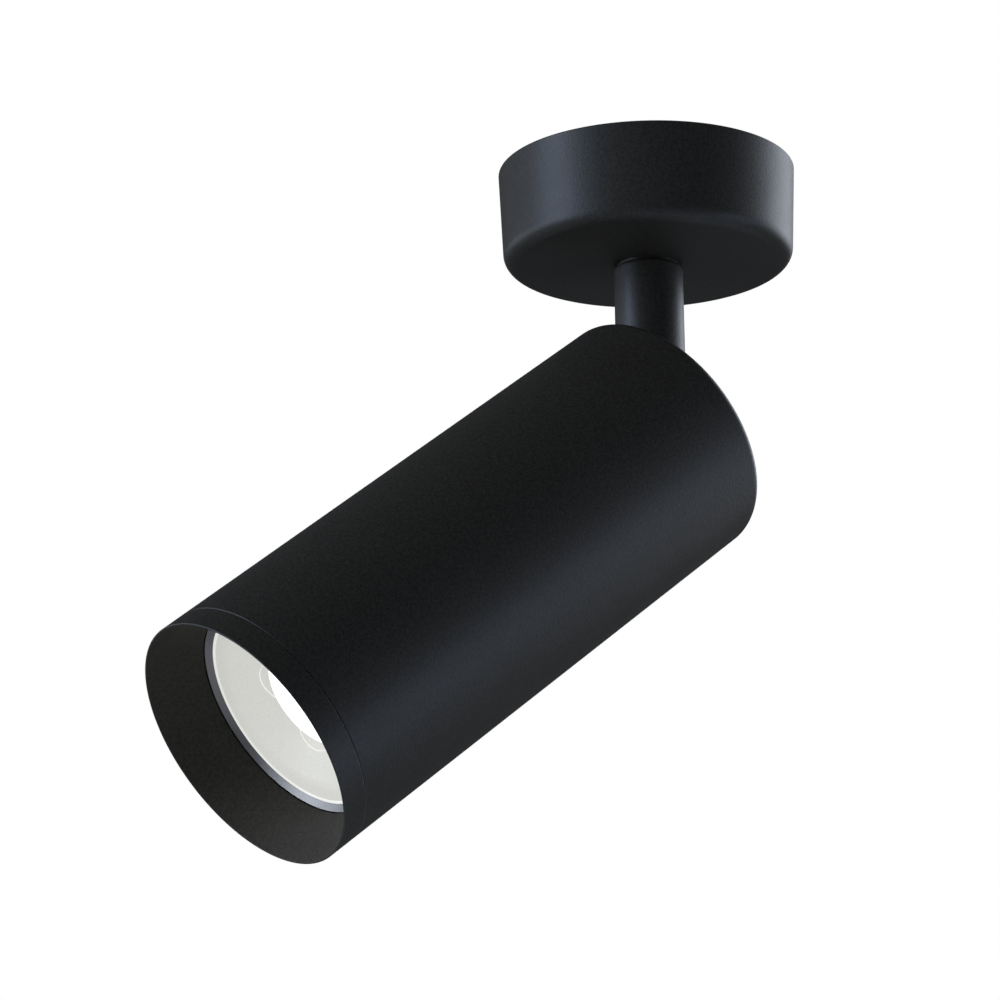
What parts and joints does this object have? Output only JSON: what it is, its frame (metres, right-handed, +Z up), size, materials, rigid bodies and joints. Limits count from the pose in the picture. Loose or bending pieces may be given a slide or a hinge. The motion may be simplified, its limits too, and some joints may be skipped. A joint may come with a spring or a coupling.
{
  "type": "surface mounted ceiling spotlight",
  "caption": "Adjustable ceiling spotlight with a round canopy, a swivelling stem and a tilting tubular head that holds a push-and-twist reflector lamp.",
  "frame": {"origin": "centre of the ceiling face of the canopy and bracket, on the stem's swivel axis", "axes": "+Z up out of the ceiling, along the stem's swivel axis; the beam points towards -Y and down in the rest pose; X is the tilt hinge's direction and the line of the two ceiling slots"},
  "size_m": [0.0722, 0.161, 0.1725],
  "materials": {
    "black_paint": "matte black fine-textured powder coat",
    "black_screw": "black oxide",
    "zinc_steel": "bright zinc plating",
    "brass": "turned brass",
    "white_plastic": "natural polyamide",
    "black_plastic": "moulded black polyamide",
    "cast_aluminium": "die-cast, uncoated",
    "ceramic": null,
    "lamp_plastic": "moulded white thermoplastic",
    "lamp_rim_gloss": "polished dark lens rim",
    "lens_frosted": "frosted optical polycarbonate",
    "diffuser": "opal diffuser",
    "board_aluminium": "aluminium circuit board with white mask",
    "nickel": "nickel plated",
    "rubber": "silicone rubber"
  },
  "bodies": {
    "ceiling_base": {"mounting_bracket": "zinc_steel", "canopy_cup": "black_paint", "canopy_screw": "black_screw", "terminal_block": "white_plastic", "terminal_tubes": "brass", "terminal_screws": "zinc_steel", "terminal_fixing_screw": "zinc_steel", "earth_screw": "brass", "earth_washer": "brass", "stem_bush": "black_plastic", "pan_friction_washer": "black_plastic"},
    "stem": {"stem_tube": "black_paint", "stem_top_insert": "brass", "stem_nipple": "zinc_steel", "pan_stop_washer": "zinc_steel", "pan_spring_washer": "zinc_steel", "pan_nut": "zinc_steel", "cable_bush": "white_plastic", "stem_knuckle": "black_paint", "knuckle_screw": "black_screw"},
    "head": {"head_housing": "black_paint", "hinge_block": "cast_aluminium", "hinge_yoke": "zinc_steel", "yoke_screws": "zinc_steel", "hinge_block_screws": "zinc_steel", "hinge_bolt": "black_screw", "hinge_nut": "zinc_steel", "hinge_washers": "black_plastic", "holder_bracket": "zinc_steel", "holder_bracket_screws": "zinc_steel", "lamp_holder": "ceramic", "holder_screws": "zinc_steel"},
    "lamp": {"lamp_body": "lamp_plastic", "lamp_rim": "lamp_rim_gloss", "lamp_lens": "lens_frosted", "lamp_diffuser": "diffuser", "led_board": "board_aluminium", "lamp_base": "lamp_plastic", "lamp_pins": "nickel"},
    "bezel": {"front_bezel": "black_paint", "bezel_seal": "rubber"}
  },
  "joints": [
    {"name": "swivel", "type": "hinge", "parent": "ceiling_base", "child": "stem", "pos_m": [0, 0, -0.03], "axis": [0, 0, 1], "range_deg": [-170, 170]},
    {"name": "tilt", "type": "hinge", "parent": "stem", "child": "head", "pos_m": [0, 0, -0.0666], "axis": [-1, 0, 0], "range_deg": [-52.6, 12.4]},
    {"name": "lamp_twist", "type": "hinge", "parent": "head", "child": "lamp", "pos_m": [0, -0.04766, -0.10304], "axis": [0, -0.7944, -0.6074], "range_deg": [-40, 0]},
    {"name": "bezel_pull", "type": "slide", "parent": "head", "child": "bezel", "axis": [0, -0.7944, -0.6074], "range_m": [0, 0.02]}
  ]
}
